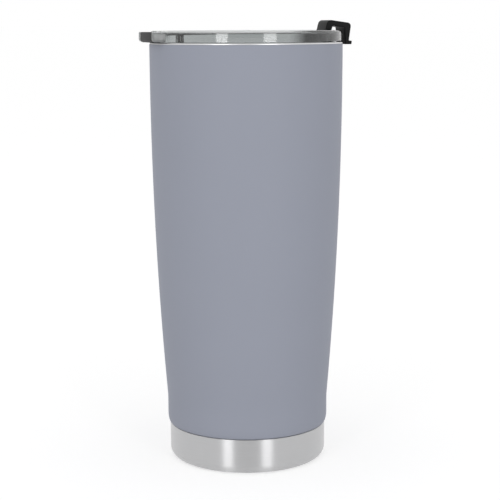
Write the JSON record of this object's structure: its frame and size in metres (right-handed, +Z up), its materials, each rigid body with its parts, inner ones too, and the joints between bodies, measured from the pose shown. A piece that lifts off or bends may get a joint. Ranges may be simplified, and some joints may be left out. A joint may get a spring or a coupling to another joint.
{
  "type": "insulated tumbler with lid",
  "caption": "Tapered double-wall vacuum tumbler with a bare steel base, a clear press-in lid with a soft gasket, and a hinged arm that plugs the drinking hole and arches over the rim.",
  "frame": {"origin": "on the cup's axis, at the surface that the base stands on", "axes": "+Z up along the cup's axis; the lid's arm lies along X, hinged at -X, with its arch and pull tab at +X"},
  "size_m": [0.0933, 0.0852, 0.1966],
  "materials": {
    "coated_steel": "matt powder coat",
    "liner_steel": "satin, polished at the lip",
    "brushed_steel": "brushed round the axis",
    "copper": "bright foil",
    "glass_seal": "fused bead",
    "getter_metal": "sintered",
    "clear_plastic": "polished clear",
    "black_plastic": "fine moulded satin",
    "black_silicone": "soft matt",
    "pin_steel": "drawn wire"
  },
  "bodies": {
    "cup": {"outer_shell": "coated_steel", "inner_liner": "liner_steel", "liner_bottom": "liner_steel", "copper_foil": "copper", "base_cap": "brushed_steel", "vacuum_bottom": "liner_steel", "seal_bead": "glass_seal", "getter_cup": "liner_steel", "getter": "getter_metal"},
    "lid": {"lid_body": "clear_plastic", "lid_gasket": "black_silicone", "hinge_pin": "pin_steel"},
    "arm": {"flip_arm": "black_plastic", "drink_plug": "black_silicone", "vent_plug": "black_silicone"}
  },
  "joints": [
    {"name": "lid_lift", "type": "slide", "parent": "cup", "child": "lid", "axis": [0, 0, 1], "range_m": [0, 0.06]},
    {"name": "arm_hinge", "type": "hinge", "parent": "lid", "child": "arm", "pos_m": [-0.04349, 0, 0.1897], "axis": [0, -1, 0], "range_deg": [0, 180]}
  ]
}
